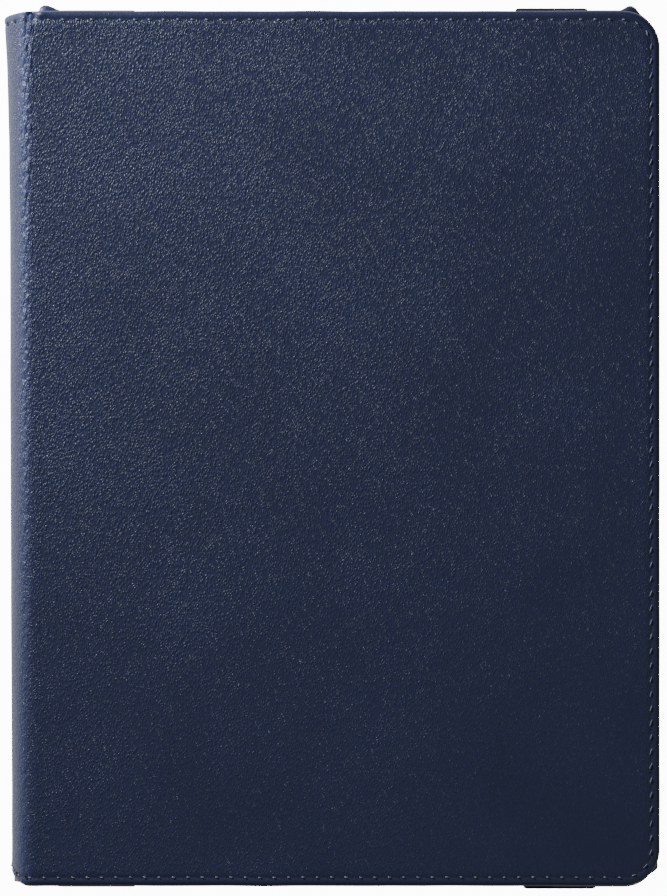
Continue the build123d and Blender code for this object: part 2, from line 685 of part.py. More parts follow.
with BuildPart() as keyboard_deck:
    with BuildSketch(Plane.XY.offset(z_deck)):
        add(keyboard_sketch(0))
    extrude(amount=z_base - z_deck)
    fillet(keyboard_deck.faces().sort_by(Axis.Z)[0].edges(), 0.6)
    with BuildSketch(Plane.XY.offset(z_deck_inside)):
        add(keyboard_sketch(DECK_RIM))
        with Locations(*screw_places):
            Circle(SCREW_BOSS_RADIUS, mode=Mode.SUBTRACT)
    extrude(amount=CUT, mode=Mode.SUBTRACT)
    with BuildSketch(Plane.XY.offset(z_deck)):
        for _, x, y, size_x, size_y in CELLS:
            with Locations((x, y)):
                RectangleRounded(
                    size_x - KEY_SPACING + 2 * KEY_WINDOW_GAP,
                    size_y - KEY_SPACING + 2 * KEY_WINDOW_GAP,
                    KEYCAP_CORNER_RADIUS + KEY_WINDOW_GAP,
                )
        with Locations((switch_place[0], switch_place[1] + SWITCH_TRAVEL / 2)):
            Rectangle(
                SWITCH_KNOB_WIDTH + 2 * CONTROL_GAP,
                SWITCH_KNOB_LENGTH + SWITCH_TRAVEL + 2 * CONTROL_GAP,
            )
        with Locations(button_place):
            Circle(PAIR_BUTTON_RADIUS + CONTROL_GAP)
        with Locations(*light_places):
            Circle(LIGHT_RADIUS + CONTROL_GAP / 2)
    extrude(amount=DECK_FACE, mode=Mode.SUBTRACT)
    with BuildSketch(Plane.XY.offset(z_socket - SHELL_GAP)):
        with Locations((socket_x, socket_y)):
            Rectangle(SOCKET_WIDTH + 2 * SHELL_GAP, SOCKET_DEPTH + 2 * SHELL_GAP)
    extrude(amount=SOCKET_THICKNESS + 2 * SHELL_GAP, mode=Mode.SUBTRACT)
    with BuildSketch(Plane.XY.offset(z_base)):
        with Locations(*screw_places):
            Circle(SCREW_SHANK_RADIUS)
    extrude(amount=-(z_base - z_deck_inside), mode=Mode.SUBTRACT)
save(keyboard_deck, "keyboard_deck")

with BuildPart() as keyboard_base:
    with BuildSketch(Plane.XY.offset(z_base)):
        add(keyboard_sketch(0))
    extrude(amount=KEYBOARD_BASE)
    with BuildSketch(Plane.XY.offset(z_base)):
        with Locations(*screw_places):
            Circle(SCREW_SHANK_RADIUS)
    extrude(amount=CUT, mode=Mode.SUBTRACT)
    with BuildSketch(Plane.XY.offset(z_front - SCREW_HEAD_THICKNESS)):
        with Locations(*screw_places):
            Circle(SCREW_HEAD_RADIUS)
    extrude(amount=CUT, mode=Mode.SUBTRACT)
save(keyboard_base, "keyboard_base")

with BuildPart() as keyboard_screws:
    with BuildSketch(Plane.XY.offset(z_front - SCREW_HEAD_THICKNESS)):
        with Locations(*screw_places):
            Circle(SCREW_HEAD_RADIUS)
    extrude(amount=SCREW_HEAD_THICKNESS)
    with BuildSketch(Plane.XY.offset(z_front - SCREW_HEAD_THICKNESS)):
        with Locations(*screw_places):
            Circle(SCREW_SHANK_RADIUS)
    extrude(amount=-(z_front - SCREW_HEAD_THICKNESS - z_deck_inside - SHELL_GAP))
save(keyboard_screws, "keyboard_screws")

with BuildPart() as circuit_board:
    with BuildSketch(Plane.XY.offset(z_circuit)):
        add(keyboard_sketch(DECK_RIM + SHELL_GAP))
        with Locations(*screw_places):
            Circle(SCREW_BOSS_RADIUS + SHELL_GAP, mode=Mode.SUBTRACT)
        with Locations((socket_x, -KEYBOARD_HEIGHT / 2)):
            Rectangle(
                SOCKET_WIDTH + 2 * SHELL_GAP, 2 * (SOCKET_DEPTH + SHELL_GAP), mode=Mode.SUBTRACT
            )
    extrude(amount=CIRCUIT)
save(circuit_board, "circuit_board")

with BuildPart() as charge_socket:
    with BuildSketch(Plane.XZ.offset(KEYBOARD_HEIGHT / 2)):
        with Locations((socket_x, z_socket + SOCKET_THICKNESS / 2)):
            RectangleRounded(SOCKET_WIDTH, SOCKET_THICKNESS, 0.5 * SOCKET_THICKNESS - 0.05)
    extrude(amount=-SOCKET_DEPTH)
    with BuildSketch(Plane.XZ.offset(KEYBOARD_HEIGHT / 2)):
        with Locations((socket_x, z_socket + SOCKET_THICKNESS / 2)):
            RectangleRounded(
                SOCKET_WIDTH - 2 * SOCKET_WALL,
                SOCKET_THICKNESS - 2 * SOCKET_WALL,
                0.5 * SOCKET_THICKNESS - SOCKET_WALL - 0.05,
            )
            Rectangle(SOCKET_WIDTH - 8 * SOCKET_WALL, 2 * SOCKET_WALL, mode=Mode.SUBTRACT)
    extrude(amount=-(SOCKET_DEPTH - SOCKET_WALL), mode=Mode.SUBTRACT)
save(charge_socket, "charge_socket")

with BuildPart() as battery:
    with BuildSketch(Plane.XY.offset(z_deck_inside + SHELL_GAP)):
        with Locations((x_controls, KEYBOARD_HEIGHT / 2 - BATTERY_FROM_END - BATTERY_LENGTH / 2)):
            RectangleRounded(BATTERY_WIDTH, BATTERY_LENGTH, 0.8)
    extrude(amount=BATTERY_THICKNESS)
save(battery, "battery")

with BuildPart() as key_domes:
    with BuildSketch(Plane.XY.offset(z_membrane)):
        rows_end = x_keyboard_end - CONTROL_STRIP
        grid_half = KEYBOARD_HEIGHT / 2 - KEY_GRID_MARGIN
        with Locations(((x_key_rows + rows_end) / 2, 0)):
            Rectangle(rows_end - x_key_rows, 2 * grid_half)
    extrude(amount=MEMBRANE)
    z_dome_top = z_key_back - KEYCAP_HOLLOW + DOME_TOP_GAP
    for _, x, y, _, _ in CELLS:
        with Locations((x, y, (z_membrane + z_dome_top) / 2)):
            Cone(DOME_RADIUS / 2, DOME_RADIUS, z_membrane - z_dome_top)
save(key_domes, "key_domes")

for node in key_nodes:
    with BuildPart() as keycaps:
        for _, x, y, size_x, size_y in [cell for cell in CELLS if cell[0] == node]:
            with BuildSketch(Plane.XY.offset(z_keys)):
                with Locations((x, y)):
                    RectangleRounded(size_x - KEY_SPACING, size_y - KEY_SPACING, KEYCAP_CORNER_RADIUS)
            extrude(amount=KEYCAP_THICKNESS)
        fillet(keycaps.faces().group_by(Axis.Z)[0].edges(), KEYCAP_EDGE_RADIUS)
        for _, x, y, size_x, size_y in [cell for cell in CELLS if cell[0] == node]:
            with BuildSketch(Plane.XY.offset(z_key_back)):
                with Locations((x, y)):
                    Rectangle(
                        size_x - KEY_SPACING - 2 * KEYCAP_WALL, size_y - KEY_SPACING - 2 * KEYCAP_WALL
                    )
            extrude(amount=-KEYCAP_HOLLOW, mode=Mode.SUBTRACT)
    save(keycaps, node)

with BuildPart() as power_switch:
    with BuildSketch(Plane.XY.offset(z_deck - SWITCH_PROUD)):
        with Locations(switch_place):
            RectangleRounded(SWITCH_KNOB_WIDTH, SWITCH_KNOB_LENGTH, 0.5)
    extrude(amount=SWITCH_PROUD + DECK_FACE + SHELL_GAP)
    with BuildSketch(Plane.XY.offset(z_deck_inside + SHELL_GAP)):
        with Locations(switch_place):
            Rectangle(
                SWITCH_KNOB_WIDTH + 2 * CONTROL_FLANGE, SWITCH_KNOB_LENGTH + 2 * CONTROL_FLANGE
            )
    extrude(amount=CONTROL_FLANGE)
save(power_switch, "power_switch")

with BuildPart() as pair_button:
    with BuildSketch(Plane.XY.offset(z_deck - PAIR_BUTTON_PROUD)):
        with Locations(button_place):
            Circle(PAIR_BUTTON_RADIUS)
    extrude(amount=PAIR_BUTTON_PROUD + DECK_FACE + SHELL_GAP)
    fillet(pair_button.faces().sort_by(Axis.Z)[0].edges(), 0.3)
    with BuildSketch(Plane.XY.offset(z_deck_inside + SHELL_GAP)):
        with Locations(button_place):
            Circle(PAIR_BUTTON_RADIUS + CONTROL_FLANGE)
    extrude(amount=CONTROL_FLANGE)
save(pair_button, "pair_button")

with BuildPart() as status_lights:
    with BuildSketch(Plane.XY.offset(z_deck)):
        with Locations(*light_places):
            Circle(LIGHT_RADIUS)
    extrude(amount=z_circuit - z_deck)
save(status_lights, "status_lights")

bumper_places = [
    (x, side * (KEYBOARD_HEIGHT / 2 - BUMPER_FROM_EDGE))
    for x in (x_keyboard + BUMPER_FROM_EDGE, x_keyboard_end - BUMPER_FROM_EDGE)
    for side in (1, -1)
]
with BuildPart() as deck_bumpers:
    with BuildSketch(Plane.XY.offset(z_deck)):
        with Locations(*bumper_places):
            Circle(BUMPER_RADIUS)
    extrude(amount=-(z_deck - z_tablet - TABLET_THICKNESS - BUMPER_TO_TABLET))
    fillet(deck_bumpers.faces().group_by(Axis.Z)[0].edges(), 0.4)
save(deck_bumpers, "deck_bumpers")

print("size", round(total_width, 2), round(2 * (y_strap_leg + STRAP_THICKNESS), 2), round(z_top, 2))
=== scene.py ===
"""Looks of the closed folio keyboard case: its leather skins, stitching, strap, wrapped corners and finishes."""

import math

import bmesh
import bpy
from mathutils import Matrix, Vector, noise


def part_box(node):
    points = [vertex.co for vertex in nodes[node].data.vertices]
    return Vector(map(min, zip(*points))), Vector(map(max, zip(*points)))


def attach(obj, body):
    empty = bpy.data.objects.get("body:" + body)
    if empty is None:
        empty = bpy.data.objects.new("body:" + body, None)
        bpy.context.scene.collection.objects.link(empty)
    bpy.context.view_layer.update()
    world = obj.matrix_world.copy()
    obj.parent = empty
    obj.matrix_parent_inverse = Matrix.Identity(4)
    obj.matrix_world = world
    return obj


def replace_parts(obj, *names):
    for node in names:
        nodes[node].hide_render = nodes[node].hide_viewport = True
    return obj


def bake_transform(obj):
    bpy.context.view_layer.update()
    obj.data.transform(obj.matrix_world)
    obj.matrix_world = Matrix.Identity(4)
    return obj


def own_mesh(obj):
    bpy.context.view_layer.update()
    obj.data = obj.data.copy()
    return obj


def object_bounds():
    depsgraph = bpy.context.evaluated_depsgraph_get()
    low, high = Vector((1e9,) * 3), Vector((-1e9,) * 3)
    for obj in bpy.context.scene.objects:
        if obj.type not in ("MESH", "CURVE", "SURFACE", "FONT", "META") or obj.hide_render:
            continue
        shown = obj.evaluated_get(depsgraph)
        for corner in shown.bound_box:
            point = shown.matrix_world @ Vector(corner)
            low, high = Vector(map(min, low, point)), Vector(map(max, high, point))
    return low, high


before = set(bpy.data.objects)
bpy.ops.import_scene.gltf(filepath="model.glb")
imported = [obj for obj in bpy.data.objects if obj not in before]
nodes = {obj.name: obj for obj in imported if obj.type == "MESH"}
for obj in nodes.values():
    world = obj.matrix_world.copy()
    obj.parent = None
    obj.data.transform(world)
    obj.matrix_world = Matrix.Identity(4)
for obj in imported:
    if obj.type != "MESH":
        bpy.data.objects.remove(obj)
cad_low, cad_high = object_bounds()

MM = 0.001


def box_mm(node):
    """The lowest and highest corners of a CAD node, in millimetres."""
    low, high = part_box(node)
    return low / MM, high / MM


# ------------------------------------------------------------------ places, from the CAD nodes
front_low, front_high = box_mm("front_leather")
back_low, back_high = box_mm("back_leather")
spine_low, spine_high = box_mm("spine_leather")
fold_low, fold_high = box_mm("front_fold")
back_fold_low, back_fold_high = box_mm("back_fold")
strap_low, strap_high = box_mm("elastic_strap")
X_FOLD = (fold_low.x + fold_high.x) / 2
Z_FRONT_FOLD = (fold_low.z + fold_high.z) / 2
Z_BACK_FOLD = (back_fold_low.z + back_fold_high.z) / 2
X_FREE = front_high.x
HALF_HEIGHT = front_high.y
CORNER = 10.3  # radius of the covers' corners at the free edge
Z_SPINE = (Z_FRONT_FOLD + Z_BACK_FOLD) / 2
SPINE_RISE = 3.4  # of the spine's arch over the line between the folds
SPINE_RADIUS = ((Z_FRONT_FOLD - Z_SPINE) ** 2 + SPINE_RISE**2) / (2 * SPINE_RISE)
X_SPINE_CENTRE = X_FOLD - SPINE_RISE + SPINE_RADIUS
SPINE_OUTSIDE = X_SPINE_CENTRE - spine_low.x
LEATHER = 0.9
TRAY_WALL = 1.6
TRAY_LIP_REACH = 2.6
STRAP_THICKNESS = 0.9
STITCH_PITCH = 4.0


# ------------------------------------------------------------------ node helpers for materials
class Shader:
    """A small helper that adds nodes to a material and links them."""

    def __init__(self, name):
        self.material = bpy.data.materials.new(name)
        self.material.use_nodes = True
        self.tree = self.material.node_tree
        self.tree.nodes.clear()
        self.out = self.tree.nodes.new("ShaderNodeOutputMaterial")
        self.bsdf = self.tree.nodes.new("ShaderNodeBsdfPrincipled")
        self.tree.links.new(self.bsdf.outputs[0], self.out.inputs[0])

    def node(self, kind, **settings):
        n = self.tree.nodes.new("ShaderNode" + kind)
        for key, value in settings.items():
            setattr(n, key, value)
        return n

    def put(self, socket, value):
        if isinstance(value, bpy.types.NodeSocket):
            self.tree.links.new(value, socket)
        else:
            socket.default_value = value

    def coords(self, scale=(1, 1, 1), turn=(0, 0, 0)):
        place = self.node("TexCoord")
        mapping = self.node("Mapping")
        self.put(mapping.inputs["Vector"], place.outputs["Object"])
        mapping.inputs["Rotation"].default_value = turn
        mapping.inputs["Scale"].default_value = scale
        return mapping.outputs[0]

    def noise(self, vector, scale, detail):
        n = self.node("TexNoise")
        self.put(n.inputs["Vector"], vector)
        n.inputs["Scale"].default_value = scale
        n.inputs["Detail"].default_value = detail
        return n

    def voronoi(self, vector, scale, feature="F1", smooth=0.5):
        n = self.node("TexVoronoi", feature=feature)
        self.put(n.inputs["Vector"], vector)
        n.inputs["Scale"].default_value = scale
        if feature == "SMOOTH_F1":
            n.inputs["Smoothness"].default_value = smooth
        return n

    def span(self, value, low, high, to_low, to_high):
        n = self.node("MapRange")
        self.put(n.inputs[0], value)
        for i, x in enumerate((low, high, to_low, to_high)):
            n.inputs[i + 1].default_value = x
        return n.outputs[0]

    def math(self, kind, a, b=0.0):
        n = self.node("Math", operation=kind)
        self.put(n.inputs[0], a)
        self.put(n.inputs[1], b)
        return n.outputs[0]

    def times(self, *values):
        product = values[0]
        for value in values[1:]:
            product = self.math("MULTIPLY", product, value)
        return product

    def plus(self, *values):
        total = values[0]
        for value in values[1:]:
            total = self.math("ADD", total, value)
        return total

    def away_from(self, value, middle):
        return self.math("ABSOLUTE", self.math("SUBTRACT", value, middle))

    def beyond(self, value, limit):
        return self.math("MAXIMUM", self.math("SUBTRACT", value, limit), 0.0)

    def xyz(self, vector):
        n = self.node("SeparateXYZ")
        self.put(n.inputs[0], vector)
        return n.outputs

    def mix(self, factor, a, b):
        n = self.node("Mix", data_type="RGBA")
        self.put(n.inputs[0], factor)
        self.put(n.inputs[6], a if isinstance(a, bpy.types.NodeSocket) else (*a, 1))
        self.put(n.inputs[7], b if isinstance(b, bpy.types.NodeSocket) else (*b, 1))
        return n.outputs[2]

    def bump(self, height, strength, distance_mm):
        n = self.node("Bump")
        self.put(n.inputs["Height"], height)
        n.inputs["Strength"].default_value = strength
        n.inputs["Distance"].default_value = distance_mm * MM
        return n.outputs[0]


# ------------------------------------------------------------------ materials
def darker(color, share):
    return tuple(c * share for c in color)


def lighter(color, share, added=0.0):
    return tuple(min(1.0, c * share + added) for c in color)


GRAIN_CELLS = 1.2 / MM
FINE_CELLS = 2.3 / MM
WRINKLE_CELLS = 0.5 / MM
PORES = 5.0 / MM
GRAIN_DEPTH = 0.26
GRAIN_SLANT = math.radians(24)
GRAIN_STRETCH = (1 / 0.62, 1 / 1.25, 1 / 0.8)
# how strongly the pebbles along the fold are painted lighter: a painted highlight
FOLD_PAINTED_HIGHLIGHT = 0.28


def slanted_place(s):
    """Places on the leather, drawn out at a slant and bent a little so that no two cells are alike."""
    slant = s.coords(scale=GRAIN_STRETCH, turn=(0, 0, GRAIN_SLANT))
    wobble = s.noise(slant, 0.9 / MM, 2.0)
    bent = s.node("VectorMath", operation="SCALE")
    s.put(bent.inputs[0], wobble.outputs["Color"])
    bent.inputs["Scale"].default_value = 0.55 * MM
    placed = s.node("VectorMath", operation="ADD")
    s.put(placed.inputs[0], slant)
    s.put(placed.inputs[1], bent.outputs[0])
    return placed.outputs[0]


def grain_share(s, x, y):
    """How deep the grain is: least outside the stitch line, and less towards the right and the bottom."""
    past_x = s.beyond(x, (X_FREE - CORNER) * MM)
    past_y = s.beyond(s.math("ABSOLUTE", y), (HALF_HEIGHT - CORNER) * MM)
    reach = s.math("SQRT", s.plus(s.times(past_x, past_x), s.times(past_y, past_y)))
    return s.times(
        s.span(reach, (CORNER - 3.0) * MM, (CORNER - 2.2) * MM, 1.0, 0.22),
        s.span(x, -0.08, 0.08, 0.72, 0.34),
        s.span(y, -0.11, 0.01, 0.58, 1.0),
    )


def leather(name, color, grain=1.0, roughness=0.36, coat=0.1):
    """Pebbled coated leather, its grain drawn out at a slant and wrinkled along the fold, with painted shade in the
    creases between the pebbles and a painted highlight on the fold's pebbles, strongest near the top.
    """
    s = Shader(name)
    placed = slanted_place(s)
    cells = s.voronoi(placed, GRAIN_CELLS, "SMOOTH_F1", 0.35)
    creases = s.voronoi(placed, GRAIN_CELLS, "DISTANCE_TO_EDGE")
    fine = s.voronoi(placed, FINE_CELLS, "SMOOTH_F1", 0.5)
    wrinkles = s.voronoi(placed, WRINKLE_CELLS, "SMOOTH_F1", 0.3)
    pores = s.noise(s.coords(), PORES, 2.0).outputs[0]
    broad = s.noise(s.coords(), 0.035 / MM, 2.0).outputs[0]
    x, y, _ = s.xyz(s.coords())

    dome = s.span(cells.outputs["Distance"], 0.0, 0.75, 1.0, 0.0)
    edge = s.span(creases.outputs["Distance"], 0.0, 0.16, 0.0, 1.0)
    small = s.times(s.span(fine.outputs["Distance"], 0.0, 0.8, 1.0, 0.0), 0.28)
    pebbles = s.plus(s.times(dome, edge), small, s.times(pores, 0.10))
    height = s.times(pebbles, s.span(broad, 0.3, 0.7, 0.8, 1.15), grain_share(s, x, y))
    near_fold = s.span(s.away_from(x, (X_FOLD - 0.4) * MM), 0.3 * MM, 2.4 * MM, 1.0, 0.0)
    crumple_and_painted_highlight = s.times(near_fold, s.span(y, -0.07, 0.12, 0.5, 3.2))
    height = s.plus(height, s.times(crumple_and_painted_highlight, s.span(wrinkles.outputs["Distance"], 0.0, 0.9, 1.3, 0.0)))

    # painted shade: the creases between the pebbles are painted darker
    base = s.mix(edge, darker(color, 0.62), color)
    base = s.mix(s.span(broad, 0.3, 0.75, 0.0, 0.45), base, lighter(color, 1.22))
    # painted highlight: the pebbles along the fold are painted lighter, most near the top
    base = s.mix(s.times(crumple_and_painted_highlight, s.times(edge, FOLD_PAINTED_HIGHLIGHT)), base, lighter(color, 2.6, 0.02))
    s.put(s.bsdf.inputs["Base Color"], base)
    in_creases = s.span(edge, 0.0, 1.0, roughness + 0.22, roughness)
    s.put(s.bsdf.inputs["Roughness"], s.plus(in_creases, s.span(pores, 0.3, 0.7, -0.05, 0.06)))
    s.bsdf.inputs["Specular IOR Level"].default_value = 0.5
    s.bsdf.inputs["Coat Weight"].default_value = coat
    s.bsdf.inputs["Coat Roughness"].default_value = 0.3
    s.put(s.bsdf.inputs["Normal"], s.bump(height, grain, GRAIN_DEPTH))
    return s.material


def cloth(name, color, thread_mm=0.35, roughness=0.85, sheen=0.25, strength=0.5, lines=(1, 1)):
    """A woven cloth: two crossing sets of threads with some fuzz."""
    s = Shader(name)
    x, y, _ = s.xyz(s.coords(scale=(1 / MM, 1 / MM, 1 / MM)))
    rate = 2 * math.pi / thread_mm
    warp = s.math("SINE", s.times(x, rate * lines[0]))
    weft = s.math("SINE", s.times(y, rate * lines[1]))
    weave = s.span(s.times(warp, weft), -1.0, 1.0, 0.0, 1.0)
    fuzz = s.noise(s.coords(), 3.0 / MM, 3.0).outputs[0]
    broad = s.noise(s.coords(), 0.05 / MM, 2.0).outputs[0]
    base = s.mix(weave, darker(color, 0.55), lighter(color, 1.35))
    base = s.mix(s.span(broad, 0.3, 0.7, 0.0, 0.5), base, color)
    s.put(s.bsdf.inputs["Base Color"], base)
    s.put(s.bsdf.inputs["Roughness"], s.span(fuzz, 0.3, 0.7, roughness - 0.08, roughness + 0.08))
    s.bsdf.inputs["Sheen Weight"].default_value = sheen
    s.put(s.bsdf.inputs["Normal"], s.bump(s.plus(weave, s.times(fuzz, 0.5)), strength, 0.08))
    return s.material


def plastic(name, color, roughness=0.5, grain_mm=0.25, strength=0.18, metallic=0.0):
    """Moulded plastic or metal with a fine texture and slight unevenness of shine."""
    s = Shader(name)
    fine = s.noise(s.coords(), 1 / (grain_mm * MM), 3.0).outputs[0]
    broad = s.noise(s.coords(), 0.06 / MM, 2.0).outputs[0]
    s.put(s.bsdf.inputs["Base Color"], s.mix(broad, darker(color, 0.85), color))
    s.put(s.bsdf.inputs["Roughness"], s.span(fine, 0.3, 0.7, roughness - 0.06, roughness + 0.06))
    s.bsdf.inputs["Metallic"].default_value = metallic
    s.put(s.bsdf.inputs["Normal"], s.bump(fine, strength, 0.03))
    return s.material


NAVY = (0.0120, 0.0165, 0.055)
leather_navy = leather("leather_navy", NAVY)
# a navy thread painted lighter than the leather: a painted glint along each stitch
thread_navy_painted_glint = cloth("thread_navy_painted_glint", (0.10, 0.12, 0.20), 0.16, 0.45, 0.4, 0.4, (1.0, 1.4))
# near-black dishes for the needle holes: painted shade of the holes' depth
hole_painted_shade = plastic("stitch_hole", (0.004, 0.005, 0.010), 0.8)
strap_cloth = cloth("strap_elastic", (0.009, 0.012, 0.026), 0.8, 0.8, 0.12, 0.8, (1.0, 1.3))
lining_cloth = cloth("lining_suede", (0.022, 0.026, 0.040), 0.22, 0.95, 0.2, 0.25)
felt = cloth("tray_felt", (0.022, 0.024, 0.030), 0.3, 0.95, 0.15, 0.3)


# ------------------------------------------------------------------ mesh helpers
def mesh_object(name, points_mm, faces, material, smooth_angle=40):
    """A smooth-shaded mesh from points in millimetres, with coincident points joined."""
    mesh = bpy.data.meshes.new(name)
    mesh.from_pydata([Vector(p) * MM for p in points_mm], [], faces)
    work = bmesh.new()
    work.from_mesh(mesh)
    bmesh.ops.remove_doubles(work, verts=work.verts, dist=1e-6)
    bmesh.ops.dissolve_degenerate(work, edges=work.edges, dist=1e-7)
    bmesh.ops.recalc_face_normals(work, faces=work.faces)
    work.to_mesh(mesh)
    work.free()
    mesh.materials.append(material)
    mesh.shade_smooth()
    piece = bpy.data.objects.new(name, mesh)
    bpy.context.scene.collection.objects.link(piece)
    if smooth_angle:
        mesh.set_sharp_from_angle(angle=math.radians(smooth_angle))
    return piece


def smoothstep(t):
    t = min(1.0, max(0.0, t))
    return t * t * (3 - 2 * t)


def between(x, table):
    """A value read from a short table of (x, value), in straight lines between its rows."""
    if x <= table[0][0]:
        return table[0][1]
    for (x0, v0), (x1, v1) in zip(table, table[1:]):
        if x <= x1:
            return v0 + (v1 - v0) * (x - x0) / (x1 - x0)
    return table[-1][1]


def ring_points(count):
    """The cosine and sine of evenly spaced angles round a ring."""
    return [(math.cos(math.tau * k / count), math.sin(math.tau * k / count)) for k in range(count)]


def band(first, second, count):
    """Faces between two closed rings of points, given the number of each ring's first point."""
    pairs = [(k, (k + 1) % count) for k in range(count)]
    return [(first + k, first + n, second + n, second + k) for k, n in pairs]


def cap(first, count):
    return tuple(range(first, first + count))


# ------------------------------------------------------------------ leather skins
END_TO_STITCH = 2.5
SPINE_HALF_ANGLE = math.radians(27)
FOLD_TO_FLAT = 3.1
SPINE_END_INSET = {True: 1.1, False: 3.0}  # of the spine's leather at the top and at the bottom
SPINE_SKIN_THICKNESS = 2.5
FIRST_COLUMN, LAST_COLUMN, COLUMN_GROWTH = 0.45, 3.4, 1.18
# how far the spine stands out to the left, by the place along it
SPINE_FLARE = [
    (-110, -0.3), (-50, 0.0), (15, 0.25), (60, 0.3), (85, 0.55), (98, 0.85), (108, 1.15), (121, 1.9),
]
# the border's section as (inset from the edge, height over the face): the stitch line's groove, then the rolled edge
OUTER_SECTION = [
    (CORNER, 0.0), (7.2, 0.0), (5.2, 0.03), (4.0, 0.06), (3.3, 0.03), (2.9, -0.03), (2.68, -0.08),
    (2.5, -0.10), (2.32, -0.08), (2.1, -0.02), (1.75, 0.05), (1.35, 0.06), (0.95, -0.01), (0.6, -0.15),
    (0.32, -0.38), (0.12, -0.72), (0.02, -1.1),
]
# the turned edge's section as (inset from the edge, share of the cover's thickness)
TURNED_SECTION = [(0.0, 0.55), (0.06, 0.74), (0.2, 0.88), (0.42, 0.97), (0.7, 1.0), (0.96, 1.0)]
SKIN_INSIDE = -0.92


class Skin:
    """One leather skin: from the middle of the spine, over a fold and out to the free edge, with turned edges."""

    def __init__(self, side):
        self.side = side
        self.face = front_high.z if side > 0 else back_low.z
        self.thick = front_high.z - front_low.z if side > 0 else back_high.z - back_low.z
        self.profile = self.make_profile()
        self.rows = 118

    def make_profile(self):
        """(x, z, normal x, normal z, distance from the middle of the spine) along the outer surface."""
        rows = []
        last = SPINE_HALF_ANGLE
        arc_steps = 8
        for i in range(arc_steps + 1):
            a = last * i / arc_steps
            rows.append((
                X_SPINE_CENTRE - SPINE_OUTSIDE * math.cos(a),
                Z_SPINE + self.side * SPINE_OUTSIDE * math.sin(a),
                -math.cos(a), self.side * math.sin(a),
            ))
        p0 = Vector(rows[-1][:2])
        p3 = Vector((X_FOLD + FOLD_TO_FLAT, self.face))
        reach = (p3 - p0).length * 0.42
        p1 = p0 + Vector((math.sin(last), self.side * math.cos(last))) * reach
        p2 = p3 - Vector((1, 0)) * reach
        steps = 16
        for i in range(1, steps + 1):
            t = i / steps
            p = p0 * (1 - t) ** 3 + p1 * 3 * t * (1 - t) ** 2 + p2 * 3 * t * t * (1 - t) + p3 * t**3
            d = (p1 - p0) * (1 - t) ** 2 + (p2 - p1) * 2 * t * (1 - t) + (p3 - p2) * t * t
            d.normalize()
            rows.append((p.x, p.y, -d.y * self.side, d.x * self.side))
        x, end = p3.x, X_FREE - CORNER
        step = FIRST_COLUMN
        while x < end - 1e-6:
            x = min(end, x + step)
            if end - x < 0.4 * step:
                x = end
            step = min(LAST_COLUMN, step * COLUMN_GROWTH)
            rows.append((x, self.face, 0.0, float(self.side)))
        out, u = [], 0.0
        for i, row in enumerate(rows):
            if i:
                u += math.hypot(row[0] - rows[i - 1][0], row[1] - rows[i - 1][1])
            out.append((*row, u))
        return out

    def thickness(self, u):
        return SPINE_SKIN_THICKNESS + (self.thick - SPINE_SKIN_THICKNESS) * smoothstep((u - 9) / 5)

    def end_inset(self, u, top):
        return SPINE_END_INSET[top] * (1 - smoothstep(u / 12.5))

    def relief(self, u, x, y):
        """Small unevenness: slow waves, wrinkles where the leather folds, and the pinch at the top of the front fold."""
        h = 0.10 * noise.noise(Vector((x / 31, y / 31, self.side * 3.1)))
        h += 0.03 * noise.noise(Vector((x / 9, y / 9, self.side * 7.7)))
        fold = math.exp(-(((u - 11.5) / 3.6) ** 2))
        near_top = smoothstep((y - 40) / 75) * 0.8 + 0.2
        h += fold * near_top * 0.16 * noise.noise(Vector((u / 1.6, y / 2.3, 5.0)))
        if self.side > 0:
            from_fold, from_top = x - X_FOLD, HALF_HEIGHT - y
            h -= 1.7 * math.exp(-(((from_fold - 1.3) / 1.3) ** 2 + ((from_top - 1.2) / 1.6) ** 2))
            h += 0.35 * math.exp(-(((from_fold - 4.2) / 1.6) ** 2 + ((from_top - 0.6) / 1.4) ** 2))
        return h

    def on_profile(self, i, y, h, outer):
        x, z, nx, nz, u = self.profile[i]
        if outer:
            h += self.relief(u, x, y)
        flare = between(y, SPINE_FLARE) * (1 - smoothstep(u / 12))
        return Vector((x + nx * h - flare, y, z + nz * h))

    def on_face(self, x, y, h, outer):
        if outer:
            h += self.relief(60, x, y)
        return Vector((x, y, self.face + self.side * h))

    def row_y(self, i, j):
        u = self.profile[i][4]
        top = HALF_HEIGHT - CORNER - self.end_inset(u, True)
        bottom = -(HALF_HEIGHT - CORNER - self.end_inset(u, False))
        return bottom + (top - bottom) * j / self.rows

    def stations(self):
        """Points all round the free border, each a function of the inset from the edge and of the height."""
        found = []
        last = len(self.profile) - 1

        def end_station(i, top):
            u = self.profile[i][4]
            sign = 1 if top else -1
            reach = HALF_HEIGHT - self.end_inset(u, top)
            wave = 0.16 * noise.noise(Vector((self.profile[i][0] / 13, sign * 9.0, 1.0)))

            def point(d, h, outer=True):
                give = wave * max(0.0, 1 - d / CORNER)
                return self.on_profile(i, sign * (reach + give - d), h, outer)

            return point, self.thickness(u)

        def corner_station(angle, top):
            sign = 1 if top else -1
            cx, cy = X_FREE - CORNER, sign * (HALF_HEIGHT - CORNER)

            def point(d, h, outer=True):
                r = CORNER - d
                return self.on_face(cx + r * math.sin(angle), cy + sign * r * math.cos(angle), h, outer)

            return point, self.thick

        def side_station(j):
            y = self.row_y(last, j)
            wave = 0.12 * noise.noise(Vector((y / 15, 4.0, 2.0)))
            wave *= smoothstep((HALF_HEIGHT - CORNER - abs(y)) / 12)

            def point(d, h, outer=True):
                return self.on_face(X_FREE - d + wave * max(0.0, 1 - d / CORNER), y, h, outer)

            return point, self.thick

